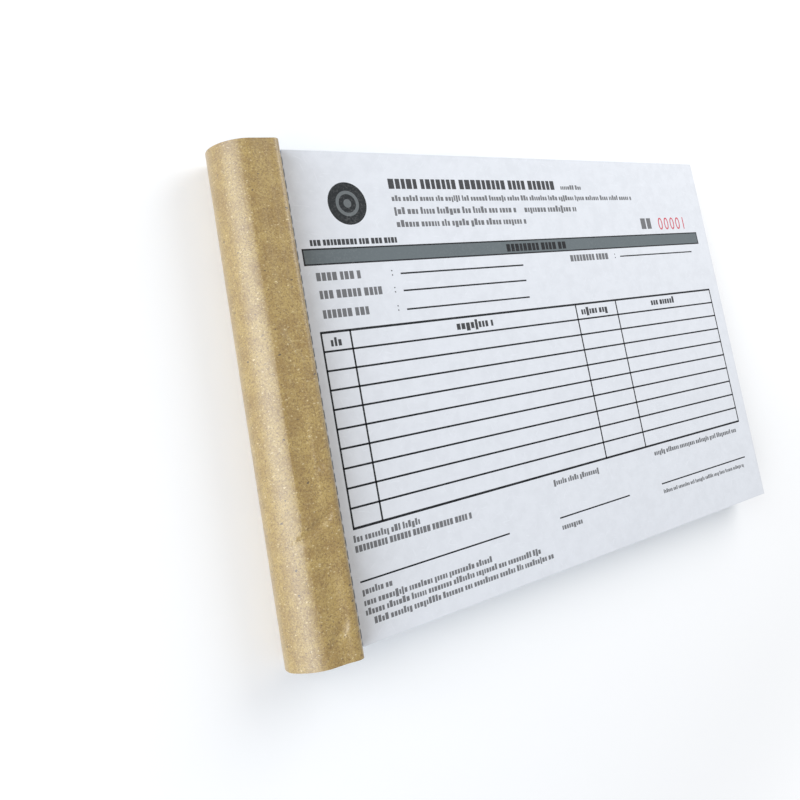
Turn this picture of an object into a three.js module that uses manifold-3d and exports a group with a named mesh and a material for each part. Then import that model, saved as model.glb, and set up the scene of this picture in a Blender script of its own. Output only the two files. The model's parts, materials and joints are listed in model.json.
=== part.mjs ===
// A5 landscape carbonless receipt pad, kraft cover folded back round its bound edge, lying on its cover.
// Millimetres. X runs along the long side with the bound edge at -X, Y runs up the form, +Z is up.
// The origin is on the resting plane, under the middle of the sheets.
import * as THREE from "three";
import { mergeVertices } from "three/addons/utils/BufferGeometryUtils.js";
import Module from "manifold-3d";

// Paper: an A5 sheet on its side, sold in sets of one original and two copies
const sheetLength = 210;
const sheetWidth = 148;
const leafThickness = 0.08;
const leafGap = 0.02;
const leavesPerSet = 3;
const setsBelowFirst = 49;

// Cards: the backing board, the loose writing shield and the kraft cover
const boardThickness = 0.8;
const shieldThickness = 0.3;
const shieldInset = 3;
const coverThickness = 0.45;
const panelGap = 0.05;

// Binding margin: score of the cover, perforation of the leaves, glue on the spine
const scoreFromSpine = 7.5;
const perforationFromSpine = 8.5;
const perforationPitch = 3.7;
const perforationTie = 1.1;
const perforationSlit = 0.3;
const tornEdgeGap = 0.04;
const glueThickness = 0.2;
const glueGap = 0.02;

// Wire staples through the binding margin
const stapleFromSpine = 4;
const stapleOffCentre = 38;
const stapleCrown = 13;
const wireWidth = 0.7;
const wireThickness = 0.5;
const clinchLength = 4.2;
const wireClearance = 0.12;

// Fold of the cover: a flat strip rises from the score to a crease, a flat crest runs back from it,
// then equal strips go round to the panel
const crestRise = 7.8;
const bendCentreOutside = 2.6;
const riseDegrees = 115.75;
const crestFallDegrees = 6;
const bendStrips = 6;
const foldGap = 0.02;

// Heights from the resting plane, from the panel up to the first leaf
const boardBottom = coverThickness + panelGap;
const boardTop = boardBottom + boardThickness;
const blockBottom = boardTop + leafGap;
const blockTop = blockBottom + setsBelowFirst * leavesPerSet * leafThickness;
const shieldBottom = blockTop + leafGap;
const firstSetBottom = shieldBottom + shieldThickness + leafGap;
const leafPitch = leafThickness + leafGap;
const padTop = firstSetBottom + leavesPerSet * leafPitch;
const coverTop = padTop + coverThickness;

// Places along X, measured from the spine edge and then moved so that the sheets are centred
const spineX = -sheetLength / 2;
const freeX = spineX + sheetLength;
const scoreX = spineX + scoreFromSpine;
const perforationX = spineX + perforationFromSpine;
const stapleX = spineX + stapleFromSpine;

const kraft = paint("cover kraft card", 0xbfa878, 0.86);
const whitePaper = paint("white carbonless paper", 0xe4e7ee, 0.8);
const bluePaper = paint("blue carbonless paper", 0xb9d4e8, 0.82);
const paleBluePaper = paint("pale blue carbonless paper", 0xcfe0ec, 0.82);
const greyBoard = paint("grey backing board", 0xa9a397, 0.9);
const manila = paint("manila shield card", 0xd9c79c, 0.85);
const glue = paint("padding glue", 0xdfe6ee, 0.45);
const steel = paint("staple wire", 0xb8babd, 0.35, 0.9);

const wasm = await Module();
wasm.setup();

function paint(name, color, roughness, metalness = 0) {
  const material = new THREE.MeshStandardMaterial({ color, roughness, metalness });
  material.name = name;
  return material;
}

function piece(name, geometry, material) {
  const mesh = new THREE.Mesh(geometry, material);
  mesh.name = name;
  return mesh;
}

function box(low, high) {
  const size = high.map((value, axis) => value - low[axis]);
  const middle = high.map((value, axis) => (value + low[axis]) / 2);
  return new THREE.BoxGeometry(...size).translate(...middle);
}

function rectangle(x0, y0, x1, y1) {
  return [[x0, y0], [x1, y0], [x1, y1], [x0, y1]].map(([x, y]) => new THREE.Vector2(x, y));
}

// A flat sheet between two heights, from its outline and any holes
function sheet(outline, bottom, thickness, holes = []) {
  const shape = new THREE.Shape(outline);
  shape.holes = holes.map((hole) => new THREE.Path(hole));
  return new THREE.ExtrudeGeometry(shape, { depth: thickness, bevelEnabled: false }).translate(0, 0, bottom);
}

function toSolid(geometry) {
  const bare = geometry.clone();
  bare.deleteAttribute("normal");
  bare.deleteAttribute("uv");
  const merged = mergeVertices(bare, 1e-4);
  const triVerts = new Uint32Array(merged.index.array);
  const vertProperties = new Float32Array(merged.attributes.position.array);
  return new wasm.Manifold(new wasm.Mesh({ numProp: 3, vertProperties, triVerts }));
}

function toGeometry(solid) {
  const mesh = solid.getMesh();
  const geometry = new THREE.BufferGeometry();
  geometry.setAttribute("position", new THREE.BufferAttribute(mesh.vertProperties, 3));
  geometry.setIndex(new THREE.BufferAttribute(mesh.triVerts, 1));
  geometry.computeVertexNormals();
  return geometry;
}

function join(boxes) {
  return toGeometry(boxes.map(toSolid).reduce((whole, part) => whole.add(part)));
}

function cut(geometry, boxes) {
  return toGeometry(boxes.map(toSolid).reduce((rest, part) => rest.subtract(part), toSolid(geometry)));
}

// Where the staple legs stand, as [x, y] of each leg's centre
const stapleCentres = { upper: stapleOffCentre, lower: -stapleOffCentre };
const legOffset = (stapleCrown - wireWidth) / 2;
const legPlaces = Object.values(stapleCentres).flatMap((y) => [y - legOffset, y + legOffset]);

function legHoles() {
  const halfX = wireThickness / 2 + wireClearance;
  const halfY = wireWidth / 2 + wireClearance;
  return legPlaces.map((y) => rectangle(stapleX - halfX, y - halfY, stapleX + halfX, y + halfY));
}

// The perforated edge runs up the sheet: slits stand back from the line, ties reach it
function perforatedEdge(side) {
  const edge = perforationX + side * tornEdgeGap / 2;
  const slit = perforationX + side * perforationSlit / 2;
  const ties = Math.floor(sheetWidth / perforationPitch);
  const first = -(ties - 1) * perforationPitch / 2;
  const points = [new THREE.Vector2(slit, -sheetWidth / 2)];
  for (let tie = 0; tie < ties; tie += 1) {
    const low = first + tie * perforationPitch - perforationTie / 2;
    const high = low + perforationTie;
    points.push(new THREE.Vector2(slit, low), new THREE.Vector2(edge, low));
    points.push(new THREE.Vector2(edge, high), new THREE.Vector2(slit, high));
  }
  points.push(new THREE.Vector2(slit, sheetWidth / 2));
  return points;
}

// Leaf right of the perforation, and the stub of it that stays in the binding
function leafGeometry(bottom) {
  const edge = perforatedEdge(1).reverse();
  const corners = [new THREE.Vector2(freeX, -sheetWidth / 2), new THREE.Vector2(freeX, sheetWidth / 2)];
  return sheet([...corners, ...edge], bottom, leafThickness);
}

function stubGeometry(bottom) {
  const edge = perforatedEdge(-1);
  const corners = [new THREE.Vector2(spineX, sheetWidth / 2), new THREE.Vector2(spineX, -sheetWidth / 2)];
  return sheet([...edge, ...corners], bottom, leafThickness, legHoles());
}

function firstSet() {
  const plies = [
    ["second_copy", paleBluePaper],
    ["first_copy", bluePaper],
    ["original", whitePaper],
  ];
  return plies.flatMap(([name, material], ply) => {
    const bottom = firstSetBottom + ply * leafPitch;
    return [
      piece(`${name}_leaf`, leafGeometry(bottom), material),
      piece(`${name}_stub`, stubGeometry(bottom), material),
    ];
  });
}

// The sets below the first, one solid of leaves that stay bound
function remainingSets() {
  const outline = rectangle(spineX, -sheetWidth / 2, freeX, sheetWidth / 2);
  return piece("remaining_sets", sheet(outline, blockBottom, blockTop - blockBottom, legHoles()), bluePaper);
}

// Loose card that keeps writing off the next set, pushed in as far as the perforation
function writingShield() {
  const left = perforationX + perforationSlit;
  const outline = rectangle(left, -sheetWidth / 2 + shieldInset, freeX, sheetWidth / 2 - shieldInset);
  return piece("writing_shield", sheet(outline, shieldBottom, shieldThickness), manila);
}

// The clinched legs lie in grooves that the staple presses into the board
function clinchBoxes(y, direction, margin) {
  const outer = y - direction * (wireWidth / 2 + margin);
  const inner = y + direction * (clinchLength + margin);
  const low = [stapleX - wireThickness / 2 - margin, Math.min(outer, inner), boardBottom - margin];
  const high = [stapleX + wireThickness / 2 + margin, Math.max(outer, inner), boardBottom + wireThickness + margin];
  return box(low, high);
}

function legDirections() {
  return legPlaces.map((y, leg) => [y, leg % 2 === 0 ? 1 : -1]);
}

function backingBoard() {
  const outline = rectangle(spineX, -sheetWidth / 2, freeX, sheetWidth / 2);
  const plate = sheet(outline, boardBottom, boardThickness, legHoles());
  const grooves = legDirections().map(([y, direction]) => clinchBoxes(y, direction, wireClearance));
  return piece("backing_board", cut(plate, grooves), greyBoard);
}

function staple(name, centreY) {
  const crownBottom = coverTop + foldGap;
  const halfX = wireThickness / 2;
  const legs = [centreY - legOffset, centreY + legOffset];
  const crown = box(
    [stapleX - halfX, centreY - stapleCrown / 2, crownBottom],
    [stapleX + halfX, centreY + stapleCrown / 2, crownBottom + wireThickness],
  );
  const shanks = legs.map((y) => box(
    [stapleX - halfX, y - wireWidth / 2, boardBottom],
    [stapleX + halfX, y + wireWidth / 2, crownBottom + wireThickness / 2],
  ));
  const clinches = legs.map((y, leg) => clinchBoxes(y, leg === 0 ? 1 : -1, 0));
  return piece(`wire_staple_${name}`, join([crown, ...shanks, ...clinches]), steel);
}

function spineGlue() {
  const right = spineX - glueGap;
  const film = box([right - glueThickness, -sheetWidth / 2, boardBottom], [right, sheetWidth / 2, coverTop]);
  return piece("spine_glue_film", film, glue);
}

function bindingStrip() {
  const outline = rectangle(spineX, -sheetWidth / 2, scoreX - foldGap, sheetWidth / 2);
  return piece("cover_binding_strip", sheet(outline, padTop, coverThickness, legHoles()), kraft);
}

// Fold lines of the cover on its concave face, in the XZ plane: the score, the crease where the rise
// meets the crest, then lines round a circle that the crest, each further strip and the panel touch.
function foldLines() {
  const outerRadius = (coverTop + crestRise) / 2;
  const innerRadius = outerRadius - coverThickness;
  const centre = new THREE.Vector2(spineX - bendCentreOutside, outerRadius);
  const crestAngle = THREE.MathUtils.degToRad(90 + crestFallDegrees);
  const step = (THREE.MathUtils.degToRad(270) - crestAngle) / bendStrips;
  const score = new THREE.Vector2(scoreX, coverTop);
  const rise = heading(THREE.MathUtils.degToRad(riseDegrees));
  const facing = heading(crestAngle);
  const touch = facing.clone().multiplyScalar(innerRadius).add(centre);
  const riseLength = touch.sub(score).dot(facing) / rise.dot(facing);
  const lines = [score, score.clone().addScaledVector(rise, riseLength)];
  for (let fold = 0; fold < bendStrips; fold += 1) {
    const angle = crestAngle + step * (fold + 0.5);
    lines.push(heading(angle).multiplyScalar(innerRadius / Math.cos(step / 2)).add(centre));
  }
  return lines;
}

function heading(angle) {
  return new THREE.Vector2(Math.cos(angle), Math.sin(angle));
}

// Each strip hangs on the one before it at a fold line, as the card does when it is opened
function foldedCover() {
  const lines = foldLines();
  const strips = lines.slice(1).map((end, strip) => end.clone().sub(lines[strip]));
  const bendLength = strips.reduce((total, run) => total + run.length(), 0);
  const panelLength = freeX - scoreX - bendLength;
  const names = ["cover_rise_strip"];
  for (let strip = 1; strip <= bendStrips; strip += 1) names.push(`cover_bend_strip_${strip}`);
  const root = new THREE.Group();
  let parent = root;
  let place = new THREE.Vector3(lines[0].x, 0, lines[0].y);
  let turned = 0;
  strips.forEach((run, strip) => {
    const direction = (run.angle() + 2 * Math.PI) % (2 * Math.PI);
    parent = hang(parent, place, direction - turned);
    parent.add(piece(names[strip], stripGeometry(run.length()), kraft));
    place = new THREE.Vector3(run.length(), 0, 0);
    turned = direction;
  });
  hang(parent, place, 2 * Math.PI - turned).add(piece("cover_panel", stripGeometry(panelLength), kraft));
  return root;
}

// A group at a fold line, opened by an angle that turns the card up and back
function hang(parent, place, openedBy) {
  const group = new THREE.Group();
  group.position.copy(place);
  group.rotation.y = -openedBy;
  parent.add(group);
  return group;
}

function stripGeometry(length) {
  const low = [foldGap, -sheetWidth / 2, -coverThickness];
  return box(low, [length - foldGap, sheetWidth / 2, 0]);
}

const pad = new THREE.Group();
pad.add(backingBoard(), remainingSets(), writingShield(), ...firstSet());
pad.add(spineGlue(), bindingStrip(), foldedCover());
for (const [name, y] of Object.entries(stapleCentres)) pad.add(staple(name, y));

export default pad;
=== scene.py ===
"""Looks of a carbonless receipt pad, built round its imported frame. Metres, +X away from the bound edge, +Z up."""

import json
import math
import random

import bmesh
import bpy
from bpy.props import (
    FloatProperty,
    FloatVectorProperty,
    IntProperty,
    PointerProperty,
    StringProperty,
)
from bpy.types import Operator, Panel, PropertyGroup
from mathutils import Euler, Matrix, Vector


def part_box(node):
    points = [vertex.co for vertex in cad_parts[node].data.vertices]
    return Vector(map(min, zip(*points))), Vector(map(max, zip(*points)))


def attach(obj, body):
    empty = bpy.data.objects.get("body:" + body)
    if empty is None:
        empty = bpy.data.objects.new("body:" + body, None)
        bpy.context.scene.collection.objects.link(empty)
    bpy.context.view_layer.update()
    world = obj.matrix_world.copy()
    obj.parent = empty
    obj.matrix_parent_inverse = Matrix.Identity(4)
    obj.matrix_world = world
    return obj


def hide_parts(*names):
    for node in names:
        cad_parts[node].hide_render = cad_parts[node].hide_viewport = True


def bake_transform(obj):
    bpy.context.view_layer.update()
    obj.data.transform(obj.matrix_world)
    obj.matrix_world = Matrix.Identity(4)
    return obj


bl_info = {
    "name": "Receipt Pad Looks",
    "version": (1, 0, 0),
    "blender": (4, 5, 0),
    "location": "View3D > Sidebar > Receipt Pad",
    "description": "Dresses the packed frame of a carbonless receipt pad: kraft cover, leaves, printed form and stage",
    "category": "Object",
}

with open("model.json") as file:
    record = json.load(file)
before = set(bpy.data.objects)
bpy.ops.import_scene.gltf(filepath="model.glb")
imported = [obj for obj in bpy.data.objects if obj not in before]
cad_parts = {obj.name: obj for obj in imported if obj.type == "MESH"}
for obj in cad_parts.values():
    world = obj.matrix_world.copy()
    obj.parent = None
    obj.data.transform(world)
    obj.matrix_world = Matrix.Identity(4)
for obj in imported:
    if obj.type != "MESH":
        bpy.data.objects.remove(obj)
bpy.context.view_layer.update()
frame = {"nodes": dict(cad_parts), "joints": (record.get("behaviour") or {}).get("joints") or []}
NODES = frame["nodes"]
MM = 0.001

# Places that the frame gives: the block, the card, the score and the fold lines of the cover
BLOCK_LOW, BLOCK_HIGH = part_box("remaining_sets")
CARD_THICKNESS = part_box("cover_panel")[1].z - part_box("cover_panel")[0].z
HALF_WIDTH = BLOCK_HIGH.y
HINGES = {j["name"]: Vector(j["pos_m"]) for j in frame["joints"] if "pos_m" in j}
SCORE = HINGES["cover_score"]
FOLDS = [HINGES[name] for name in sorted(HINGES) if name.startswith("cover_fold_")]


def colour(name, note, default):
    """A colour property, in linear values."""
    return FloatVectorProperty(name=name, description=note, subtype="COLOR", size=3, min=0, max=1, default=default)


def length(name, note, millimetres):
    """A length property, given in millimetres and kept in metres."""
    return FloatProperty(name=name, description=note, unit="LENGTH", min=0, default=millimetres * MM, precision=5)


class KraftLook(PropertyGroup):
    """Recycled kraft card of the cover."""

    card: colour("Card", "Main tone of the kraft card", (0.43, 0.294, 0.078))
    warm: colour("Warm patches", "Browner tone of the card's soft patches", (0.315, 0.195, 0.043))
    speck: colour("Brown specks", "Fine brown specks in the card", (0.16, 0.082, 0.014))
    bark: colour("Bark", "Rare dark bits of bark", (0.06, 0.035, 0.018))
    fibre: colour("Pale fibres", "Short shiny fibres in the card", (0.78, 0.66, 0.40))
    cut_edge: colour("Cut edge", "Freshly cut edge of the card", (0.46, 0.34, 0.15))
    crease: length("Crease radius", "Inner radius of the crease along the crest", 1.5)
    buckle: length("Buckle depth", "Depth of the soft dents in the rolled card", 0.55)
    pinch: length("End pinch", "How far the lower end of the roll is drawn in", 0.5)


class PaperLook(PropertyGroup):
    """Leaves, boards and binding."""

    white: colour("Original", "White carbonless paper", (0.76, 0.78, 0.82))
    blue: colour("First copy", "Blue carbonless paper", (0.46, 0.64, 0.82))
    pale_blue: colour("Second copy", "Pale blue carbonless paper", (0.60, 0.73, 0.85))
    board: colour("Backing board", "Grey recycled board", (0.40, 0.375, 0.335))
    manila: colour("Writing shield", "Smooth manila card", (0.70, 0.565, 0.335))
    glue: colour("Glue film", "Dried padding glue", (0.62, 0.70, 0.79))
    wire: colour("Staple wire", "Bright stitching wire", (0.62, 0.63, 0.65))
    leaf_gap: length("Gap between leaves", "Air between two leaves of the block", 0.012)
    leaf_jitter: length("Leaf jitter", "How far the cut edges of the leaves stray", 0.05)


class PrintLook(PropertyGroup):
    """Ink of the form."""

    ink: colour("Ink", "Black ink of rules and words", (0.020, 0.021, 0.024))
    bold_ink: colour("Bold words", "Tone of the blocks that stand for bold words", (0.06, 0.062, 0.066))
    fine_ink: colour("Fine words", "Tone of the blocks that stand for fine words", (0.175, 0.178, 0.186))
    bar: colour("Title bar", "Slate tone of the title bar", (0.145, 0.17, 0.18))
    numbering: colour("Number ink", "Red ink of the form's number", (0.62, 0.10, 0.13))
    mark: colour("Header disc", "Dark tone of the plain disc", (0.024, 0.027, 0.029))
    mark_ring: colour("Header ring", "Lighter ring on the disc", (0.15, 0.165, 0.17))
    rule: length("Rule width", "Width of the table's rules", 0.6)
    thickness: length("Ink height", "How far the ink stands on the paper", 0.008)
    rows: IntProperty(name="Rows", description="Rows of the table, its head among them", default=10, min=2)
    number: StringProperty(name="Number", description="Plain number of the form", default="00001")
    seed: IntProperty(name="Word seed", description="Seed for the lengths of the word marks", default=7)


class StageLook(PropertyGroup):
    """Floor, light and camera."""

    floor: colour("Floor", "Pale floor", (0.93, 0.93, 0.93))
    floor_seen: colour("Seen floor", "Floor as the camera sees it", (1.0, 1.0, 1.0))
    sky: FloatProperty(name="Sky level", description="Level of the even light", default=0.42, min=0)
    key: FloatProperty(name="Key level", description="Level of the soft light from the bound edge", default=1.14, min=0)
    fill: FloatProperty(name="Fill level", description="Level of the soft light from above", default=0.50, min=0)
    lens: FloatProperty(name="Lens", description="Focal length of the camera in mm", default=33.896, min=1)


class PadLook(PropertyGroup):
    """All looks of the pad."""

    kraft: PointerProperty(type=KraftLook)
    paper: PointerProperty(type=PaperLook)
    form: PointerProperty(type=PrintLook)
    stage: PointerProperty(type=StageLook)


# Shader helpers


def add(tree, kind, wires=None, **settings):
    """A node with its settings, its inputs set or linked by name or number."""
    node = tree.nodes.new(kind)
    for key, value in settings.items():
        setattr(node, key, value)
    for socket, value in (wires or {}).items():
        target = node.inputs[socket]
        if isinstance(value, bpy.types.NodeSocket):
            tree.links.new(value, target)
        else:
            target.default_value = value
    return node


def maths(tree, operation, first, second=0.0, clamp=False):
    return add(tree, "ShaderNodeMath", {0: first, 1: second}, operation=operation, use_clamp=clamp).outputs[0]


def ramp(tree, value, low, high, out_low=0.0, out_high=1.0):
    """Smooth step of a value from low to high."""
    wires = {"Value": value, "From Min": low, "From Max": high, "To Min": out_low, "To Max": out_high}
    return add(tree, "ShaderNodeMapRange", wires, interpolation_type="SMOOTHSTEP").outputs[0]


def blend_colour(tree, factor, first, second):
    node = tree.nodes.new("ShaderNodeMix")
    node.data_type = "RGBA"
    for socket, value in ((node.inputs[0], factor), (node.inputs[6], first), (node.inputs[7], second)):
        if isinstance(value, bpy.types.NodeSocket):
            tree.links.new(value, socket)
        else:
            socket.default_value = (*value, 1) if hasattr(value, "__len__") and len(value) == 3 else value
    return node.outputs[2]


def new_group(name, inputs, outputs):
    """A shader node group with float or vector inputs, its own input and output node."""
    group = bpy.data.node_groups.new(name, "ShaderNodeTree")
    for socket, default in inputs.items():
        kind = "NodeSocketVector" if default is None else "NodeSocketFloat"
        made = group.interface.new_socket(name=socket, in_out="INPUT", socket_type=kind)
        if default is not None:
            made.default_value = default
    for socket in outputs:
        group.interface.new_socket(name=socket, in_out="OUTPUT", socket_type="NodeSocketFloat")
    return group, add(group, "NodeGroupInput").outputs, add(group, "NodeGroupOutput").inputs


def fibre_group():
    """Short fibres that lie in three directions, as a mask and a height."""
    found = bpy.data.node_groups.get("paper fibres")
    if found:
        return found
    inputs = {"Vector": None, "Scale": 900.0, "Length": 6.0, "Cover": 0.6}
    group, given, put = new_group("paper fibres", inputs, ["Mask", "Height"])
    drift = add(group, "ShaderNodeTexNoise", {"Vector": given["Vector"], "Scale": 90.0, "Detail": 1.0})
    bent = add(group, "ShaderNodeVectorMath", {0: drift.outputs["Color"], 1: (0.5, 0.5, 0.5)}, operation="SUBTRACT")
    bent = add(group, "ShaderNodeVectorMath", {0: bent.outputs[0], 1: (0.004, 0.004, 0.0)}, operation="MULTIPLY")
    place = add(group, "ShaderNodeVectorMath", {0: given["Vector"], 1: bent.outputs[0]}, operation="ADD").outputs[0]
    across = maths(group, "DIVIDE", 1.0, given["Length"])
    total = None
    for turn in (12, 71, 133):
        turned = add(group, "ShaderNodeVectorRotate", {"Vector": place, "Angle": math.radians(turn)}, rotation_type="Z_AXIS")
        squeeze = add(group, "ShaderNodeCombineXYZ", {"X": across, "Y": 1.0, "Z": 1.0})
        drawn = add(group, "ShaderNodeVectorMath", {0: turned.outputs[0], 1: squeeze.outputs[0]}, operation="MULTIPLY")
        wires = {"Vector": drawn.outputs[0], "Scale": given["Scale"], "Detail": 1.5, "Roughness": 0.5}
        noise = add(group, "ShaderNodeTexNoise", wires).outputs[0]
        total = noise if total is None else maths(group, "MAXIMUM", total, noise)
    high = maths(group, "ADD", given["Cover"], 0.09)
    group.links.new(ramp(group, total, given["Cover"], high), put["Mask"])
    group.links.new(total, put["Height"])
    return group


def fleck_group():
    """Scattered flecks: a share of the cells of a pattern holds one, of uneven size."""
    found = bpy.data.node_groups.get("flecks")
    if found:
        return found
    inputs = {"Vector": None, "Scale": 500.0, "Size": 0.2, "Share": 0.3, "Stretch": 1.0}
    group, given, put = new_group("flecks", inputs, ["Mask"])
    warp = add(group, "ShaderNodeTexNoise", {"Vector": given["Vector"], "Scale": 1400.0, "Detail": 1.0})
    bent = add(group, "ShaderNodeVectorMath", {0: warp.outputs["Color"], 1: (0.0006, 0.0006, 0.0006)}, operation="MULTIPLY")
    place = add(group, "ShaderNodeVectorMath", {0: given["Vector"], 1: bent.outputs[0]}, operation="ADD").outputs[0]
    squeeze = add(group, "ShaderNodeCombineXYZ", {"X": given["Stretch"], "Y": 1.0, "Z": 1.0})
    drawn = add(group, "ShaderNodeVectorMath", {0: place, 1: squeeze.outputs[0]}, operation="MULTIPLY").outputs[0]
    cells = add(group, "ShaderNodeTexVoronoi", {"Vector": drawn, "Scale": given["Scale"]})
    chance = add(group, "ShaderNodeSeparateXYZ", {"Vector": cells.outputs["Color"]})
    held = maths(group, "LESS_THAN", chance.outputs[0], given["Share"])
    reach = maths(group, "MULTIPLY", given["Size"], ramp(group, chance.outputs[1], 0.0, 1.0, 0.45, 1.35))
    near = maths(group, "SUBTRACT", reach, cells.outputs["Distance"])
    spot = ramp(group, near, 0.0, 0.06)
    group.links.new(maths(group, "MULTIPLY", spot, held), put["Mask"])
    return group


def edge_group():
    """A band along the outline of a sheet that lies flat, for handling wear and dust."""
    found = bpy.data.node_groups.get("edge wear")
    if found:
        return found
    inputs = {"Vector": None, "Centre": 0.0, "Half Length": 0.1, "Half Width": 0.07, "Band": 0.002}
    group, given, put = new_group("edge wear", inputs, ["Mask"])
    parts = add(group, "ShaderNodeSeparateXYZ", {"Vector": given["Vector"]})
    along = maths(group, "SUBTRACT", parts.outputs[0], given["Centre"])
    to_end = maths(group, "SUBTRACT", given["Half Length"], maths(group, "ABSOLUTE", along))
    to_side = maths(group, "SUBTRACT", given["Half Width"], maths(group, "ABSOLUTE", parts.outputs[1]))
    nearest = maths(group, "MINIMUM", to_end, to_side)
    noise = add(group, "ShaderNodeTexNoise", {"Vector": given["Vector"], "Scale": 160.0, "Detail": 4.0}).outputs[0]
    reach = maths(group, "MULTIPLY", given["Band"], ramp(group, noise, 0.35, 0.7, 0.2, 1.4))
    share = maths(group, "DIVIDE", nearest, reach)
    group.links.new(ramp(group, share, 0.0, 1.0, 1.0, 0.0), put["Mask"])
    return group


def place_group(tree, group, wires):
    return add(tree, "ShaderNodeGroup", wires, node_tree=group)


def new_material(name, roughness, specular=0.35, **settings):
    """An opaque material with its Principled shader."""
    material = bpy.data.materials.new(name)
    material.use_nodes = True
    tree = material.node_tree
    tree.nodes.clear()
    shader = add(tree, "ShaderNodeBsdfPrincipled", {"Roughness": roughness, "Specular IOR Level": specular})
    for socket, value in settings.items():
        shader.inputs[socket.replace("_", " ")].default_value = value
    out = add(tree, "ShaderNodeOutputMaterial")
    tree.links.new(shader.outputs[0], out.inputs[0])
    return material, tree, shader


def relief(tree, shader, height, strength, distance):
    """Feeds a height to the shader's normal."""
    wires = {"Height": height, "Strength": strength, "Distance": distance}
    tree.links.new(add(tree, "ShaderNodeBump", wires).outputs[0], shader.inputs["Normal"])


def kraft_material(look, name, cut):
    """Kraft card whose pattern follows the sheet through the bend."""
    found = bpy.data.materials.get(name)
    if found:
        return found
    material, tree, shader = new_material(name, 0.45, specular=1.0, IOR=1.6, Sheen_Weight=0.3, Sheen_Roughness=0.5)
    place = add(tree, "ShaderNodeAttribute", attribute_name="card_place").outputs["Vector"]
    patches = add(tree, "ShaderNodeTexNoise", {"Vector": place, "Scale": 190.0, "Detail": 4.0, "Roughness": 0.6}).outputs[0]
    tone = blend_colour(tree, ramp(tree, patches, 0.36, 0.66), look.cut_edge if cut else look.card, look.warm)
    grain = add(tree, "ShaderNodeTexNoise", {"Vector": place, "Scale": 2600.0, "Detail": 3.0, "Roughness": 0.7}).outputs[0]
    tone = blend_colour(tree, maths(tree, "MULTIPLY", ramp(tree, grain, 0.35, 0.7), 0.5), tone, look.warm)
    mottle = add(tree, "ShaderNodeTexNoise", {"Vector": place, "Scale": 1500.0, "Detail": 4.0, "Roughness": 0.7}).outputs[0]
    tone = blend_colour(tree, maths(tree, "MULTIPLY", ramp(tree, mottle, 0.50, 0.65), 0.60), tone, look.speck)
    tone = blend_colour(tree, maths(tree, "MULTIPLY", ramp(tree, mottle, 0.46, 0.32), 0.28), tone, look.fibre)
    fibres = place_group(tree, fibre_group(), {"Vector": place, "Scale": 2900.0, "Length": 2.8, "Cover": 0.64})
    tone = blend_colour(tree, maths(tree, "MULTIPLY", fibres.outputs["Mask"], 0.3), tone, look.fibre)
    for scale, size, share, stretch, strength, shown in (
        (3100.0, 0.42, 0.60, 1.0, 0.62, look.speck),
        (1900.0, 0.30, 0.42, 0.8, 0.72, look.speck),
        (620.0, 0.16, 0.22, 0.7, 0.85, look.bark),
        (230.0, 0.09, 0.12, 0.6, 0.85, look.bark),
        (1700.0, 0.26, 0.22, 0.6, 0.50, look.fibre),
        (620.0, 0.13, 0.09, 0.5, 0.70, look.fibre),
    ):
        wires = {"Vector": place, "Scale": scale, "Size": size, "Share": share, "Stretch": stretch}
        flecks = place_group(tree, fleck_group(), wires).outputs[0]
        tone = blend_colour(tree, maths(tree, "MULTIPLY", flecks, strength), tone, shown)
    tree.links.new(tone, shader.inputs["Base Color"])
    gloss = ramp(tree, fibres.outputs["Mask"], 0.0, 1.0, 0.40, 0.34)
    tree.links.new(gloss, shader.inputs["Roughness"])
    crease = add(tree, "ShaderNodeTexNoise", {"Vector": place, "Scale": 240.0, "Detail": 4.0, "Roughness": 0.6}).outputs[0]
    height = maths(tree, "ADD", maths(tree, "MULTIPLY", crease, 1.6), maths(tree, "MULTIPLY", grain, 0.5))
    height = maths(tree, "ADD", height, maths(tree, "MULTIPLY", fibres.outputs["Height"], 0.35))
    relief(tree, shader, height, 0.5, 0.00012)
    return material


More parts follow.
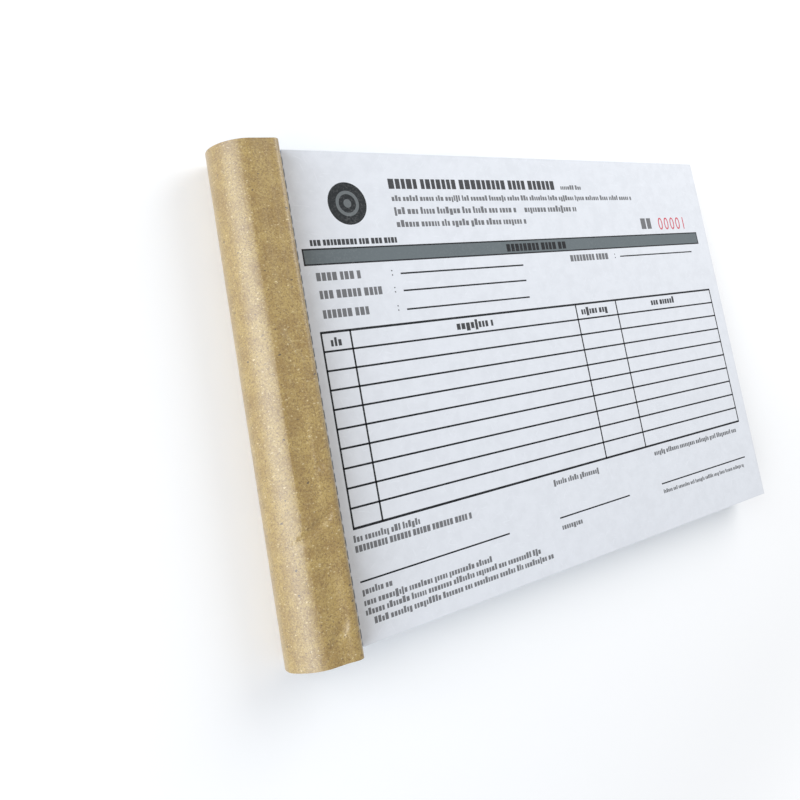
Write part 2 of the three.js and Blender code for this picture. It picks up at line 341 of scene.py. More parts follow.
def sheet_material(name, tone, roughness, wear, fleck=0.0, coarse=1.0, specular=0.25):
    """Paper or board on Object coordinates: cloudy pulp, fibres, a worn outline and, on board, flecks."""
    found = bpy.data.materials.get(name)
    if found:
        return found
    material, tree, shader = new_material(name, roughness, specular=specular)
    place = add(tree, "ShaderNodeTexCoord").outputs["Object"]
    cloud = add(tree, "ShaderNodeTexNoise", {"Vector": place, "Scale": 260.0 / coarse, "Detail": 5.0, "Roughness": 0.6}).outputs[0]
    deeper = [value * (0.955 if coarse == 1.0 else 0.84) for value in tone]
    shown = blend_colour(tree, ramp(tree, cloud, 0.35, 0.68), tone, deeper)
    fibres = place_group(tree, fibre_group(), {"Vector": place, "Scale": 1300.0 / coarse, "Length": 6.0, "Cover": 0.66})
    paler = [min(1.0, value * 1.05 + 0.01) for value in tone]
    shown = blend_colour(tree, maths(tree, "MULTIPLY", fibres.outputs["Mask"], 0.5), shown, paler)
    if fleck:
        spots = place_group(tree, fleck_group(), {"Vector": place, "Scale": 420.0, "Size": 0.16, "Share": fleck})
        shown = blend_colour(tree, maths(tree, "MULTIPLY", spots.outputs[0], 0.6), shown, [v * 0.35 for v in tone])
    outline = {"Vector": place, "Half Length": BLOCK_HIGH.x, "Half Width": HALF_WIDTH, "Band": 0.0016}
    edge = place_group(tree, edge_group(), outline)
    shown = blend_colour(tree, maths(tree, "MULTIPLY", edge.outputs[0], wear), shown, [v * 0.8 for v in tone])
    tree.links.new(shown, shader.inputs["Base Color"])
    tree.links.new(ramp(tree, cloud, 0.3, 0.7, roughness - 0.06, roughness + 0.06), shader.inputs["Roughness"])
    fine = add(tree, "ShaderNodeTexNoise", {"Vector": place, "Scale": 1800.0 / coarse, "Detail": 3.0}).outputs[0]
    height = maths(tree, "ADD", maths(tree, "MULTIPLY", fibres.outputs["Height"], 0.6), fine)
    relief(tree, shader, height, 0.35, 0.00003 * coarse)
    return material


def ink_material(name, tone, roughness=0.55, wear=0.25):
    """Ink on paper: it thins a little over the grain."""
    found = bpy.data.materials.get(name)
    if found:
        return found
    material, tree, shader = new_material(name, roughness, specular=0.15)
    place = add(tree, "ShaderNodeTexCoord").outputs["Object"]
    grain = add(tree, "ShaderNodeTexNoise", {"Vector": place, "Scale": 1500.0, "Detail": 3.0, "Roughness": 0.7}).outputs[0]
    broad = add(tree, "ShaderNodeTexNoise", {"Vector": place, "Scale": 70.0, "Detail": 3.0}).outputs[0]
    thin = maths(tree, "MULTIPLY", ramp(tree, grain, 0.45, 0.8), ramp(tree, broad, 0.35, 0.65, 0.4, 1.0))
    lighter = [value + (0.55 - value) * 0.5 for value in tone]
    tree.links.new(blend_colour(tree, maths(tree, "MULTIPLY", thin, wear), tone, lighter), shader.inputs["Base Color"])
    tree.links.new(ramp(tree, broad, 0.3, 0.7, roughness - 0.08, roughness + 0.08), shader.inputs["Roughness"])
    relief(tree, shader, grain, 0.25, 0.00001)
    return material


def wire_material(look):
    """Bright steel wire with drawing marks along it."""
    material, tree, shader = new_material("bright staple wire", 0.3, specular=0.5, Metallic=1.0)
    place = add(tree, "ShaderNodeTexCoord").outputs["Object"]
    drawn = add(tree, "ShaderNodeMapping", {"Vector": place, "Scale": (6000.0, 250.0, 6000.0)}).outputs[0]
    marks = add(tree, "ShaderNodeTexNoise", {"Vector": drawn, "Scale": 1.0, "Detail": 3.0}).outputs[0]
    dull = add(tree, "ShaderNodeTexNoise", {"Vector": place, "Scale": 400.0, "Detail": 4.0}).outputs[0]
    darker = [value * 0.6 for value in look.wire]
    tree.links.new(blend_colour(tree, ramp(tree, dull, 0.5, 0.8), look.wire, darker), shader.inputs["Base Color"])
    tree.links.new(ramp(tree, marks, 0.3, 0.7, 0.22, 0.42), shader.inputs["Roughness"])
    relief(tree, shader, marks, 0.3, 0.00002)
    return material


def glue_material(look):
    """Dried glue film: uneven, faintly glossy, with the leaf ends showing through as fine lines."""
    material, tree, shader = new_material("dried padding glue", 0.42, specular=0.45)
    place = add(tree, "ShaderNodeTexCoord").outputs["Object"]
    layers = add(tree, "ShaderNodeMapping", {"Vector": place, "Scale": (60.0, 60.0, 9000.0)}).outputs[0]
    lines = add(tree, "ShaderNodeTexNoise", {"Vector": layers, "Scale": 1.0, "Detail": 4.0, "Roughness": 0.7}).outputs[0]
    smear = add(tree, "ShaderNodeTexNoise", {"Vector": place, "Scale": 120.0, "Detail": 4.0}).outputs[0]
    deeper = [value * 0.86 for value in look.glue]
    paler = [min(1.0, value * 1.1) for value in look.glue]
    shown = blend_colour(tree, ramp(tree, lines, 0.38, 0.62), deeper, look.glue)
    shown = blend_colour(tree, maths(tree, "MULTIPLY", ramp(tree, smear, 0.45, 0.75), 0.6), shown, paler)
    tree.links.new(shown, shader.inputs["Base Color"])
    tree.links.new(ramp(tree, smear, 0.35, 0.7, 0.34, 0.55), shader.inputs["Roughness"])
    relief(tree, shader, maths(tree, "ADD", lines, smear), 0.5, 0.00006)
    return material


# Mesh helpers


def new_piece(name, points, faces, materials, kinds=None):
    """A mesh object at the origin, its faces given with a material number each."""
    mesh = bpy.data.meshes.new(name)
    mesh.from_pydata([tuple(point) for point in points], [], faces)
    for material in materials:
        mesh.materials.append(material)
    if kinds:
        mesh.polygons.foreach_set("material_index", kinds)
    mesh.validate()
    piece = bpy.data.objects.new(name, mesh)
    bpy.context.scene.collection.objects.link(piece)
    return piece


def box_mesh(name, boxes, material):
    """Upright boxes in one mesh, each as (low corner, high corner)."""
    points, faces = [], []
    for low, high in boxes:
        first = len(points)
        points += [(x, y, z) for z in (low[2], high[2]) for y in (low[1], high[1]) for x in (low[0], high[0])]
        for face in ((0, 2, 3, 1), (4, 5, 7, 6), (0, 1, 5, 4), (2, 6, 7, 3), (0, 4, 6, 2), (1, 3, 7, 5)):
            faces.append([first + corner for corner in face])
    return new_piece(name, points, faces, [material])


def dress(node, material):
    """A CAD node keeps its mesh and takes a material."""
    NODES[node].data.materials.clear()
    NODES[node].data.materials.append(material)


def settle(piece, body, slot, *replaced):
    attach(piece, body)
    if replaced:
        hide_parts(*replaced)


# Cover: one card, flat from the score to a crease, flat over the crest, round to the panel, then flat


def flat(point):
    return Vector((point.x, point.z))


def turned(angle):
    return Vector((math.cos(angle), math.sin(angle)))


def measure_card(crease_radius):
    """The card's concave line as runs of (length, start, start angle, radius), from the score to the free edge."""
    one, two, three = (flat(FOLDS[number]) for number in (1, 3, len(FOLDS) - 1))
    first, second = two - one, three - one
    left = (two.length_squared - one.length_squared) / 2
    right = (three.length_squared - one.length_squared) / 2
    span = first.x * second.y - first.y * second.x
    centre = Vector(((left * second.y - right * first.y) / span, (right * first.x - left * second.x) / span))
    angles = [math.atan2(*reversed(flat(fold) - centre)) % math.tau for fold in FOLDS[1:3]]
    step = angles[1] - angles[0]
    crest = angles[0] - step / 2
    radius = (one - centre).length * math.cos(step / 2)
    score, crease = flat(SCORE), flat(FOLDS[0])
    rise = math.atan2(*reversed(crease - score)) - math.pi / 2
    tangent = crease_radius * math.tan((crest - rise) / 2)
    touch = centre + turned(crest) * radius
    foot = (crease - score).length - tangent
    top = (touch - crease).length - tangent
    runs = [
        (foot, score, rise, 0.0),
        (crease_radius * (crest - rise), score + turned(rise + math.pi / 2) * foot, rise, crease_radius),
        (top, touch - turned(crest + math.pi / 2) * top, crest, 0.0),
        (radius * (1.5 * math.pi - crest), touch, crest, radius),
        (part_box("cover_panel")[1].x - centre.x, Vector((centre.x, centre.y - radius)), 1.5 * math.pi, 0.0),
    ]
    return runs, radius * step


def card_line(runs, along):
    """Concave point and outward direction at a distance from the score."""
    for number, (run, start, angle, radius) in enumerate(runs):
        if along <= run or number == len(runs) - 1:
            break
        along -= run
    if not radius:
        return start + turned(angle + math.pi / 2) * along, turned(angle)
    facing = angle + along / radius
    return start + (turned(facing) - turned(angle)) * radius, turned(facing)


def smooth(share):
    share = min(1.0, max(0.0, share))
    return share * share * (3 - 2 * share)


# Flattened places as (depth share, across, along, tilt, half width, half length), in mm on the card from the score
DENTS = (
    (1.0, -14.0, 16.0, -0.01, 3.5, 24.0),
    (0.4, 44.0, 16.2, 0.01, 3.4, 22.0),
    (0.6, -57.0, 15.2, 0.03, 3.5, 14.0),
    (0.75, -36.4, 14.4, -1.57, 3.0, 4.2),
    (0.6, -21.2, 11.8, 0.89, 1.6, 2.6),
    (0.35, 14.0, 13.0, 0.5, 2.0, 7.0),
    (0.5, -66.0, 14.0, -0.7, 2.4, 4.0),
)


def dent_depth(look, runs, along, across):
    """How far the rolled card is pushed in, at a distance from the score and a place across."""
    crease = sum(run[0] for run in runs[:2])
    rolled = smooth((along - crease) / 0.002) * smooth((0.031 - along) / 0.006)
    total = 0.0
    for share, middle, place, tilt, broad, reach in DENTS:
        lengthwise = across / MM - middle
        sidewise = along / MM - place - tilt * lengthwise
        total += share * max(0.0, 1 - (sidewise / broad) ** 2) * math.exp(-((lengthwise / reach) ** 2))
    ripple = 0.25 * (1 + math.sin(across * 110 + 1.0) * math.cos(along * 230 + across * 40)) / 2
    pinch = look.pinch * smooth(-across / HALF_WIDTH) * smooth((along - crease) / 0.004)
    return rolled * (look.buckle * (total + ripple) + pinch)


def card_piece(look, name, runs, stops, columns=148):
    """A stretch of the card with its two faces and its cut edges, shaded without a seam to the next stretch."""
    across = even(-HALF_WIDTH, HALF_WIDTH, columns)

    def surface(along, y, side):
        point, facing = card_line(runs, along)
        point = point + facing * (side * CARD_THICKNESS - dent_depth(look, runs, along, y))
        return Vector((point.x, y, point.y))

    points, normals, places = [], [], []
    nudge = 5e-5
    for side in (0, 1):
        for along in stops:
            for y in across:
                points.append(surface(along, y, side))
                run = surface(along + nudge, y, side) - surface(along - nudge, y, side)
                rise = surface(along, y + nudge, side) - surface(along, y - nudge, side)
                out = rise.cross(run).normalized()
                normals.append(out if side else -out)
                places.append((along, y, 0.02 * side))
    wide, deep = columns + 1, len(stops)
    faces, kinds, smooth_faces = [], [], []
    offset = wide * deep
    for row in range(deep - 1):
        for column in range(columns):
            corner = row * wide + column
            inner = [corner, corner + 1, corner + wide + 1, corner + wide]
            faces += [inner, [offset + index for index in reversed(inner)]]
            kinds += [0, 0]
            smooth_faces += [True, True]
    rim = [column for column in range(wide)]
    rim += [row * wide + columns for row in range(1, deep)]
    rim += [(deep - 1) * wide + column for column in range(columns - 1, -1, -1)]
    rim += [row * wide for row in range(deep - 2, 0, -1)]
    for here, after in zip(rim, rim[1:] + rim[:1]):
        faces.append([after, here, offset + here, offset + after])
        kinds.append(1)
        smooth_faces.append(False)
    materials = [kraft_material(look, "recycled kraft card", False), kraft_material(look, "kraft cut edge", True)]
    piece = new_piece(name, points, faces, materials, kinds)
    mesh = piece.data
    mesh.polygons.foreach_set("use_smooth", smooth_faces)
    attribute = mesh.attributes.new("card_place", "FLOAT_VECTOR", "POINT")
    attribute.data.foreach_set("vector", [value for place in places for value in place])
    if mesh.polygons[0].normal.dot(normals[0]) < 0:
        mesh.flip_normals()
    loops = []
    for polygon in mesh.polygons:
        for vertex in polygon.vertices:
            loops.append(normals[vertex] if polygon.use_smooth else polygon.normal)
    mesh.normals_split_custom_set(loops)
    return piece


def even(start, end, steps):
    return [start + (end - start) * step / steps for step in range(steps + 1)]


class RECEIPTPAD_OT_cover(Operator):
    """Rolled kraft cover: binding strip, score, rise, crease, crest, round stretches and panel"""

    bl_idname = "receipt_pad.cover"
    bl_label = "Kraft Cover"

    def execute(self, context):
        look = context.scene.pad_look.kraft
        runs, pitch = measure_card(look.crease)
        margin = SCORE.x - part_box("cover_binding_strip")[0].x
        stops = [0.0]
        for run in runs:
            stops.append(stops[-1] + run[0])
        strip = [(margin, Vector((SCORE.x - margin, SCORE.z)), 1.5 * math.pi, 0.0)]
        binding = card_piece(look, "cover_binding", strip, even(0, margin, 6))
        settle(binding, "bound_pad", "kraft_card", "cover_binding_strip")
        rise = card_piece(look, "cover_rise_face", runs, even(stops[0], stops[1], 8))
        settle(rise, "cover_rise", "kraft_card", "cover_rise_strip")
        self.bridge(look, runs, "cover_crease", stops[1], stops[2], 10, "cover_rise", "cover_bend_1")
        crest = card_piece(look, "cover_crest", runs, even(stops[2], stops[3], 14))
        settle(crest, "cover_bend_1", "kraft_card", "cover_bend_strip_1")
        bends = len(FOLDS) - 1
        for number in range(1, bends + 1):
            low = stops[3] + pitch * (number - 1)
            high = stops[4] if number == bends else low + pitch
            after = "cover_flap" if number == bends else f"cover_bend_{number + 1}"
            replaced = [] if number == bends else [f"cover_bend_strip_{number + 1}"]
            name = f"cover_round_{number}"
            self.bridge(look, runs, name, low, high, 10, f"cover_bend_{number}", after, *replaced)
        panel = card_piece(look, "cover_back_panel", runs, even(stops[4], stops[5], 80), columns=74)
        settle(panel, "cover_flap", "kraft_card", "cover_panel")
        self.score_bead(look, runs[0][2])
        return {"FINISHED"}

    def bridge(self, look, runs, name, low, high, steps, before, after, *replaced):
        """A stretch of the card between two bodies, built in place and not attached to either body."""
        stretch = card_piece(look, name, runs, even(low, high, steps))
        if replaced:
            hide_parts(*replaced)
        ends = [card_line(runs, along)[0] for along in (low, high)]
        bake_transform(stretch)

    def score_bead(self, look, rise):
        """Rounded outside corner of the card at the score."""
        steps = 8
        start, end = -math.pi / 2, rise
        points, places, faces = [], [], []
        for y in (-HALF_WIDTH, HALF_WIDTH):
            points.append(Vector((SCORE.x, y, SCORE.z)))
            places.append((0, y, 0))
            for angle in even(start, end, steps):
                points.append(Vector((
                    SCORE.x + CARD_THICKNESS * math.cos(angle), y, SCORE.z + CARD_THICKNESS * math.sin(angle),
                )))
                places.append((CARD_THICKNESS * (angle - start), y, 0.02))
        ring = steps + 2
        faces.append(list(range(ring)))
        faces.append([ring + index for index in reversed(range(ring))])
        for index in range(ring):
            after = (index + 1) % ring
            faces.append([after, index, ring + index, ring + after])
        bead = new_piece("cover_score_corner", points, faces, [kraft_material(look, "recycled kraft card", False)])
        tidy_normals(bead)
        attribute = bead.data.attributes.new("card_place", "FLOAT_VECTOR", "POINT")
        attribute.data.foreach_set("vector", [value for place in places for value in place])
        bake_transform(bead)


def tidy_normals(piece):
    """Faces outwards on a closed shell."""
    shell = bmesh.new()
    shell.from_mesh(piece.data)
    bmesh.ops.recalc_face_normals(shell, faces=shell.faces)
    shell.to_mesh(piece.data)
    shell.free()


# Leaves


def stack_tree():
    """Geometry nodes that lay one kind of leaf at every set of the block."""
    tree = bpy.data.node_groups.new("leaf stack", "GeometryNodeTree")
    wanted = {
        "Leaves": ("NodeSocketInt", 49),
        "Lowest Leaf": ("NodeSocketVector", (0, 0, 0)),
        "Set Pitch": ("NodeSocketFloat", 0.00024),
        "Leaf Size": ("NodeSocketVector", (0.21, 0.148, 0.00007)),
        "Jitter": ("NodeSocketFloat", 0.00005),
        "Seed": ("NodeSocketInt", 1),
        "Paper": ("NodeSocketMaterial", None),
    }
    for name, (kind, default) in wanted.items():
        socket = tree.interface.new_socket(name=name, in_out="INPUT", socket_type=kind)
        if default is not None:
            socket.default_value = default
    tree.interface.new_socket(name="Geometry", in_out="OUTPUT", socket_type="NodeSocketGeometry")
    given = add(tree, "NodeGroupInput").outputs
    pitch = add(tree, "ShaderNodeCombineXYZ", {"Z": given["Set Pitch"]}).outputs[0]
    wires = {"Count": given["Leaves"], "Start Location": given["Lowest Leaf"], "Offset": pitch}
    line = add(tree, "GeometryNodeMeshLine", wires)
    leaf = add(tree, "GeometryNodeMeshCube", {"Size": given["Leaf Size"]})
    laid = add(tree, "GeometryNodeInstanceOnPoints", {"Points": line.outputs[0], "Instance": leaf.outputs[0]})
    reach = add(tree, "ShaderNodeCombineXYZ", {"X": given["Jitter"], "Y": given["Jitter"]}).outputs[0]
    back = add(tree, "ShaderNodeVectorMath", {0: reach, 1: (-1, -1, 0)}, operation="MULTIPLY").outputs[0]
    stray = add(tree, "FunctionNodeRandomValue", data_type="FLOAT_VECTOR")
    for socket in stray.inputs:
        if socket.name == "Min" and socket.type == "VECTOR":
            tree.links.new(back, socket)
        if socket.name == "Max" and socket.type == "VECTOR":
            tree.links.new(reach, socket)
        if socket.name == "Seed":
            tree.links.new(given["Seed"], socket)
    moved = add(tree, "GeometryNodeTranslateInstances", {"Instances": laid.outputs[0], "Translation": stray.outputs[0]})
    real = add(tree, "GeometryNodeRealizeInstances", {"Geometry": moved.outputs[0]})
    painted = add(tree, "GeometryNodeSetMaterial", {"Geometry": real.outputs[0], "Material": given["Paper"]})
    out = add(tree, "NodeGroupOutput")
    tree.links.new(painted.outputs[0], out.inputs[0])
    return tree


def run_tree(name, tree, values):
    """A plain mesh object from a tree, its inputs set by the sockets' identifiers."""
    carrier = bpy.data.objects.new(name + "_carrier", bpy.data.meshes.new(name + "_carrier"))
    bpy.context.scene.collection.objects.link(carrier)
    modifier = carrier.modifiers.new("nodes", "NODES")
    modifier.node_group = tree
    sockets = {item.name: item.identifier for item in tree.interface.items_tree if item.in_out == "INPUT"}
    for key, value in values.items():
        modifier[sockets[key]] = value
    bpy.context.view_layer.update()
    evaluated = carrier.evaluated_get(bpy.context.evaluated_depsgraph_get())
    mesh = bpy.data.meshes.new_from_object(evaluated)
    mesh.name = name
    carrier.modifiers.remove(modifier)
    bpy.data.objects.remove(carrier)
    piece = bpy.data.objects.new(name, mesh)
    bpy.context.scene.collection.objects.link(piece)
    return piece


class RECEIPTPAD_OT_block(Operator):
    """Block of the sets below the first: white, blue and pale blue leaves in turn"""

    bl_idname = "receipt_pad.block"
    bl_label = "Block of Sets"

    def execute(self, context):
        look = context.scene.pad_look.paper
        kinds = leaf_materials(look)
        sets = 49
        pitch = (BLOCK_HIGH.z - BLOCK_LOW.z) / (sets * 3)
        size = (
            2 * BLOCK_HIGH.x - 2 * look.leaf_jitter,
            2 * HALF_WIDTH - 2 * look.leaf_jitter,
            pitch - look.leaf_gap,
        )
        tree = stack_tree()
        order = ("second_copies", "first_copies", "originals")
        for ply, name in enumerate(order):
            lowest = (0, 0, BLOCK_LOW.z + pitch * (ply + 0.5))
            values = {"Leaves": sets, "Lowest Leaf": lowest, "Set Pitch": pitch * 3, "Leaf Size": size}
            values |= {"Jitter": look.leaf_jitter, "Seed": ply + 3, "Paper": kinds[name]}
            stack = run_tree(f"block_{name}", tree, values)
            settle(stack, "bound_pad", "paper_block", "remaining_sets")
        return {"FINISHED"}


def leaf_materials(look):
    return {
        "originals": sheet_material("white carbonless paper", tuple(look.white), 0.62, 0.12),
        "first_copies": sheet_material("blue carbonless paper", tuple(look.blue), 0.64, 0.12),
        "second_copies": sheet_material("pale blue carbonless paper", tuple(look.pale_blue), 0.64, 0.12),
    }


class RECEIPTPAD_OT_first_set(Operator):
    """First set: the three leaves and the stubs that they tear off from"""

    bl_idname = "receipt_pad.first_set"
    bl_label = "First Set"

    def execute(self, context):
        kinds = leaf_materials(context.scene.pad_look.paper)
        rows = (
            ("original", "originals", "white_paper"),
            ("first_copy", "first_copies", "blue_paper"),
            ("second_copy", "second_copies", "pale_blue_paper"),
        )
        for node, kind, slot in rows:
            dress(f"{node}_leaf", kinds[kind])
            dress(f"{node}_stub", kinds[kind])
        return {"FINISHED"}


class RECEIPTPAD_OT_boards(Operator):
    """Backing board and writing shield"""

    bl_idname = "receipt_pad.boards"
    bl_label = "Board and Shield"

    def execute(self, context):
        look = context.scene.pad_look.paper
        board = sheet_material("grey backing board", tuple(look.board), 0.82, 0.35, fleck=0.25, coarse=2.2)
        dress("backing_board", board)
        shield = sheet_material("manila shield card", tuple(look.manila), 0.6, 0.3, fleck=0.04, coarse=1.4)
        dress("writing_shield", shield)
        return {"FINISHED"}


class RECEIPTPAD_OT_binding(Operator):
    """Glue film on the spine and the two wire staples"""

    bl_idname = "receipt_pad.binding"
    bl_label = "Glue and Staples"

    def execute(self, context):
        look = context.scene.pad_look.paper
        dress("spine_glue_film", glue_material(look))
        wire = wire_material(look)
        dress("wire_staple_upper", wire)
        dress("wire_staple_lower", wire)
        return {"FINISHED"}


# Printed form. All places are in millimetres on the sheet, from its middle.

TABLE_LEFT, TABLE_RIGHT, TABLE_TOP, TABLE_BOTTOM = -93.2, 98.3, 16.6, -41.5
COLUMN_SHARES = (0.0, 0.0523, 0.5645, 0.6811, 1.0)
BAR_LEFT, BAR_RIGHT, BAR_TOP, BAR_BOTTOM, BAR_LINE = -95.0, 98.2, 42.6, 37.3, 0.5
DISC_CENTRE, DISC_RADIUS = (-76.3, 56.8), 7.0

# Underlines as (left, right, height on the sheet, width)
UNDERLINES = (
    (-61.0, -7.2, 33.1, 0.55),
    (-61.0, -7.2, 27.4, 0.55),
    (-61.0, -7.2, 21.2, 0.55),
    (45.6, 92.0, 34.0, 0.5),
    (-94.0, -36.6, -56.6, 0.5),
    (-13.4, 23.0, -57.0, 0.5),
    (41.8, 97.2, -56.7, 0.5),
)

# Word marks as (left, right, foot, height, capitals, bold)
WORDS = (
    (-59.6, 18.4, 61.7, 3.5, True, True),
    (19.8, 31.8, 61.8, 1.8, False, False),
    (-59.2, 60.0, 57.5, 2.0, False, False),
    (-59.0, -5.2, 53.0, 2.4, False, False),
    (-1.2, 27.6, 53.0, 2.4, False, False),
    (-59.0, -0.6, 48.6, 2.4, False, False),
    (-91.8, -60.0, 43.4, 1.9, True, True),
    (62.6, 71.8, 44.9, 4.6, True, False),
    (-91.6, -75.6, 32.4, 2.6, True, False),
    (-91.4, -68.4, 26.8, 2.6, True, False),
    (-91.4, -75.0, 20.8, 2.6, True, False),
    (17.4, 40.2, 33.2, 2.5, True, False),
    (-90.4, -85.4, 12.2, 2.7, False, True),
    (-42.4, -25.8, 12.5, 2.9, False, True),
    (17.4, 33.2, 12.5, 2.7, False, True),
    (58.2, 73.2, 12.8, 2.7, False, True),
    (-93.8, -69.0, -45.4, 2.0, False, False),
    (-93.8, -49.6, -48.3, 1.9, True, False),
    (-13.2, 11.2, -45.8, 1.9, False, False),
    (41.2, 96.4, -45.6, 1.9, False, False),
    (-93.8, -83.6, -60.3, 1.9, False, False),
    (-93.8, -45.8, -63.4, 1.9, False, False),
    (-93.8, -24.4, -66.1, 1.9, False, False),
    (-91.4, -19.0, -69.0, 1.9, False, False),
    (-13.2, -2.8, -61.1, 1.9, False, False),
    (42.0, 95.2, -60.4, 1.5, False, False),
)
COLONS = ((-64.4, 32.6, 2.0), (-64.4, 27.0, 2.0), (-64.4, 21.0, 2.0), (42.4, 33.4, 2.0))
TITLE_WORDS = (-13.6, 17.0, 38.4, 2.8)
NUMBER_LEFT, NUMBER_FOOT, NUMBER_HEIGHT, NUMBER_PITCH = 73.2, 44.4, 5.2, 3.85


def word_marks(rng, left, right, foot, height, capitals):
    """Plain upright blocks in groups that stand for words, without drawing letters."""
    marks, x, narrowest = [], left, height * 0.3
    while x < right - narrowest:
        for _ in range(rng.randint(3, 9)):
            wide = height * (rng.uniform(0.42, 0.66) if capitals else rng.uniform(0.3, 0.56))
            if x + wide > right:
                break
            tall = 1.0 if capitals or rng.random() < 0.22 else 0.72
            low = 0.22 if not capitals and rng.random() < 0.07 else 0.0
            marks.append((x, foot - low * height, x + wide, foot + tall * height))
            x += wide + height * 0.16
        x += height * 0.3
    return marks


class RECEIPTPAD_OT_form(Operator):
    """Printed form on each leaf of the set: table, rules, title bar, word marks, plain disc and number"""

    bl_idname = "receipt_pad.form"
    bl_label = "Printed Form"

    def execute(self, context):
        look = context.scene.pad_look.form
        for body, slot in (("original", "white_paper"), ("first_copy", "blue_paper"), ("second_copy", "pale_blue_paper")):
            self.print_leaf(look, (body, slot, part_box(f"{body}_leaf")[1].z))
        return {"FINISHED"}

    def print_leaf(self, look, leaf):
        rule = look.rule / MM
        rules, bold, fine = [], [], []
        height = (TABLE_TOP - TABLE_BOTTOM) / look.rows
        for row in range(look.rows + 1):
            y = TABLE_TOP - height * row
            wide = rule * (1.25 if row in (0, look.rows) else 1.0)
            rules.append((TABLE_LEFT - rule / 2, y - wide / 2, TABLE_RIGHT + rule / 2, y + wide / 2))
        for share in COLUMN_SHARES:
            x = TABLE_LEFT + (TABLE_RIGHT - TABLE_LEFT) * share
            rules.append((x - rule / 2, TABLE_BOTTOM, x + rule / 2, TABLE_TOP))
        rules += [(left, y - wide / 2, right, y + wide / 2) for left, right, y, wide in UNDERLINES]
        for x, foot, tall in COLONS:
            rules += [(x, foot, x + 0.4, foot + 0.4), (x, foot + tall * 0.7, x + 0.4, foot + tall * 0.7 + 0.4)]
        rng = random.Random(look.seed)
        for left, right, foot, tall, capitals, heavy in WORDS:
            (bold if heavy else fine).extend(word_marks(rng, left, right, foot, tall, capitals))
        self.ink(leaf, "rules", rules, "black form ink", look.ink, look)
        self.ink(leaf, "bold_words", bold, "bold word ink", look.bold_ink, look)
        self.ink(leaf, "fine_words", fine, "fine word ink", look.fine_ink, look)
        self.ink(leaf, "title_bar", [(BAR_LEFT, BAR_BOTTOM, BAR_RIGHT, BAR_TOP)], "slate bar ink", look.bar, look)
        line = BAR_LINE / 2
        frame_marks = [(BAR_LEFT, y - line, BAR_RIGHT, y + line) for y in (BAR_TOP - line, BAR_BOTTOM + line)]
        frame_marks += [(x - line, BAR_BOTTOM, x + line, BAR_TOP) for x in (BAR_LEFT + line, BAR_RIGHT - line)]
        marks = word_marks(rng, *TITLE_WORDS, True)
        self.ink(leaf, "title_words", marks + frame_marks, "black form ink", look.ink, look, level=1.35)
        self.disc(leaf, look)
        self.number(leaf, look)

    def ink(self, leaf, name, marks, material, tone, look, level=1.0):
        body, slot, top = leaf
        low, high = top - 4e-6, top + look.thickness * level
        boxes = [((x0 * MM, y0 * MM, low), (x1 * MM, y1 * MM, high)) for x0, y0, x1, y1 in marks]
        piece = box_mesh(f"{body}_form_{name}", boxes, ink_material(material, tuple(tone)))
        settle(piece, body, slot)

    def disc(self, leaf, look):
        """A plain disc with a ring, where the form has its header mark."""
        body, slot, top = leaf
        rings = (
            ("header_disc", 0.0, 1.0, look.mark, 1.0),
            ("header_ring", 0.44, 0.60, look.mark_ring, 1.35),
            ("header_dot", 0.0, 0.2, look.mark_ring, 1.35),
        )
        for name, inside, outside, tone, level in rings:
            steps = 64
            points, faces = [], []
            for z in (top - 4e-6, top + look.thickness * level):
                for share in (inside, outside):
                    for step in range(steps):
                        angle = math.tau * step / steps
                        radius = DISC_RADIUS * max(share, 0.001) * MM
                        x = DISC_CENTRE[0] * MM + radius * math.cos(angle)
                        points.append((x, DISC_CENTRE[1] * MM + radius * math.sin(angle), z))
            for step in range(steps):
                after = (step + 1) % steps
                rows = [0, steps, 3 * steps, 2 * steps, 0]
                for here, there in zip(rows, rows[1:]):
                    faces.append([here + step, here + after, there + after, there + step])
            material = ink_material(name.replace("_", " "), tuple(tone), wear=0.35)
            piece = new_piece(f"{body}_form_{name}", points, faces, [material])
            tidy_normals(piece)
            settle(piece, body, slot)

    def number(self, leaf, look):
        """Plain digits, as a numbering machine prints them."""
        body, slot, top = leaf
        digits = []
        for place, digit in enumerate(look.number):
            text = bpy.data.curves.new("form_digit", "FONT")
            text.body, text.size, text.extrude = digit, 1.0, 0.0
            holder = bpy.data.objects.new("form_digit", text)
            bpy.context.scene.collection.objects.link(holder)
            bpy.context.view_layer.update()
            mesh = bpy.data.meshes.new_from_object(holder.evaluated_get(bpy.context.evaluated_depsgraph_get()))
            bpy.data.objects.remove(holder)
            tall = max(vertex.co.y for vertex in mesh.vertices)
            wide = max(vertex.co.x for vertex in mesh.vertices) + min(vertex.co.x for vertex in mesh.vertices)
            scale = NUMBER_HEIGHT * MM / tall
            centre = (NUMBER_LEFT + NUMBER_PITCH * (place + 0.5)) * MM
            digits.append((mesh, scale, centre - wide * scale * 0.82 / 2))
        shell = bmesh.new()
        for mesh, scale, left in digits:
            for vertex in mesh.vertices:
                x, y, _ = vertex.co
                vertex.co = (left + x * scale * 0.82, NUMBER_FOOT * MM + y * scale, top - 4e-6)
            shell.from_mesh(mesh)
        bmesh.ops.remove_doubles(shell, verts=shell.verts, dist=1e-7)
        made = bmesh.ops.extrude_face_region(shell, geom=list(shell.faces))
        lifted = [item for item in made["geom"] if isinstance(item, bmesh.types.BMVert)]
        bmesh.ops.translate(shell, verts=lifted, vec=(0, 0, look.thickness + 4e-6))
        bmesh.ops.recalc_face_normals(shell, faces=shell.faces)
        mesh = bpy.data.meshes.new(f"{body}_form_number")
        shell.to_mesh(mesh)
        shell.free()
        mesh.materials.append(ink_material("red number ink", tuple(look.numbering), wear=0.5))
        piece = bpy.data.objects.new(mesh.name, mesh)
        bpy.context.scene.collection.objects.link(piece)
        settle(piece, body, slot)


# Stage


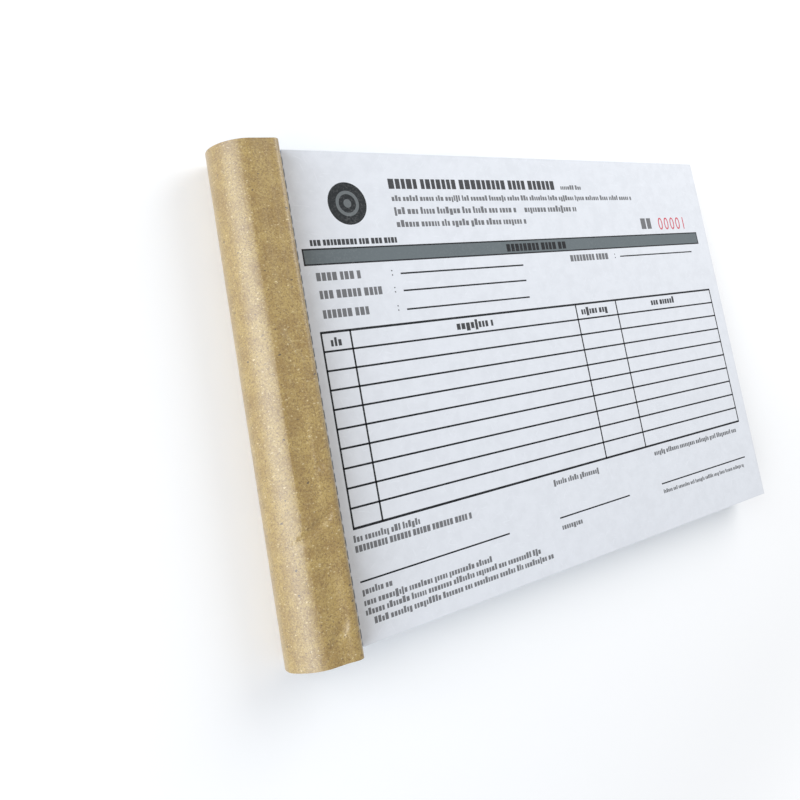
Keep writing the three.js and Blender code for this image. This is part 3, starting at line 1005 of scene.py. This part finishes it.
class RECEIPTPAD_OT_stage(Operator):
    """Pale floor, soft light and the camera at the photograph's angle"""

    bl_idname = "receipt_pad.stage"
    bl_label = "Stage"

    def execute(self, context):
        look = context.scene.pad_look.stage
        self.floor(look)
        self.world(context, look)
        centre = Vector((-0.02, 0, 0.01))
        # A level of 1 lights a facing surface so that its colour renders as written
        self.lamp("key_light", Vector((-1.12, 0.0, 0.56)), centre, (1.7, 1.3), look.key, (0.95, 1.0, 1.07))
        self.lamp("top_light", Vector((0.30, 0.28, 0.36)), centre, (0.5, 0.5), look.fill)
        self.camera(context, look)
        context.scene.view_settings.view_transform = "Standard"
        return {"FINISHED"}

    def floor(self, look):
        # Further out the floor turns to plain white for the camera, so that no horizon shows
        material, tree, shader = new_material("pale floor", 0.9, specular=0.1)
        path = add(tree, "ShaderNodeLightPath").outputs
        seen = maths(tree, "MAXIMUM", path["Is Camera Ray"], path["Is Glossy Ray"])
        shown = blend_colour(tree, seen, look.floor, look.floor_seen)
        tree.links.new(shown, shader.inputs["Base Color"])
        place = add(tree, "ShaderNodeTexCoord").outputs["Object"]
        away = add(tree, "ShaderNodeVectorMath", {0: place}, operation="LENGTH").outputs["Value"]
        white = maths(tree, "MULTIPLY", ramp(tree, away, 0.17, 0.5), path["Is Camera Ray"])
        shader.inputs["Emission Color"].default_value = (1, 1, 1, 1)
        tree.links.new(white, shader.inputs["Emission Strength"])
        half = 3.0
        points = [(-half, -half, 0), (half, -half, 0), (half, half, 0), (-half, half, 0)]
        floor = new_piece("floor", [(x, y, -0.00002) for x, y, _ in points], [[0, 1, 2, 3]], [material])

    def world(self, context, look):
        world = bpy.data.worlds.new("even light")
        world.use_nodes = True
        tree = world.node_tree
        tree.nodes.clear()
        path = add(tree, "ShaderNodeLightPath").outputs
        seen = maths(tree, "MAXIMUM", path["Is Camera Ray"], path["Is Transmission Ray"])
        level = ramp(tree, seen, 0.0, 1.0, look.sky, 1.0)
        back = add(tree, "ShaderNodeBackground", {"Color": (1, 1, 1, 1), "Strength": level})
        out = add(tree, "ShaderNodeOutputWorld")
        tree.links.new(back.outputs[0], out.inputs[0])
        context.scene.world = world

    def lamp(self, name, place, target, size, level, tint=(1, 1, 1)):
        data = bpy.data.lights.new(name, "AREA")
        data.shape, data.size, data.size_y = "ELLIPSE", *size
        data.energy = level * math.pi**2 * (place - target).length_squared
        data.color = tint
        lamp = bpy.data.objects.new(name, data)
        lamp.location = place
        lamp.rotation_euler = (target - place).to_track_quat("-Z", "Y").to_euler()
        bpy.context.scene.collection.objects.link(lamp)

    def camera(self, context, look):
        data = bpy.data.cameras.new("photo_camera")
        data.lens, data.sensor_width, data.shift_y = look.lens, 36, -0.1
        data.clip_start, data.clip_end = 0.01, 20
        camera = bpy.data.objects.new("photo_camera", data)
        camera.location = Vector((-196.79, -7.28, 213.69)) * MM
        turn = (12.4734, -31.8544, -11.9412)
        camera.rotation_euler = Euler([math.radians(angle) for angle in turn])
        context.scene.collection.objects.link(camera)
        context.scene.camera = camera


BUILD_ORDER = (
    RECEIPTPAD_OT_boards,
    RECEIPTPAD_OT_block,
    RECEIPTPAD_OT_first_set,
    RECEIPTPAD_OT_form,
    RECEIPTPAD_OT_binding,
    RECEIPTPAD_OT_cover,
    RECEIPTPAD_OT_stage,
)


class RECEIPTPAD_PT_build(Panel):
    """Steps that dress the pad"""

    bl_label = "Receipt Pad"
    bl_idname = "RECEIPTPAD_PT_build"
    bl_space_type = "VIEW_3D"
    bl_region_type = "UI"
    bl_category = "Receipt Pad"

    def draw(self, context):
        for operator in BUILD_ORDER:
            self.layout.operator(operator.bl_idname)


CLASSES = (KraftLook, PaperLook, PrintLook, StageLook, PadLook, *BUILD_ORDER, RECEIPTPAD_PT_build)


def register():
    for item in CLASSES:
        bpy.utils.register_class(item)
    bpy.types.Scene.pad_look = PointerProperty(type=PadLook)


def unregister():
    del bpy.types.Scene.pad_look
    for item in reversed(CLASSES):
        bpy.utils.unregister_class(item)


def main():
    register()
    for operator in BUILD_ORDER:
        group, name = operator.bl_idname.split(".")
        getattr(getattr(bpy.ops, group), name)()


if __name__ == "__main__":
    main()
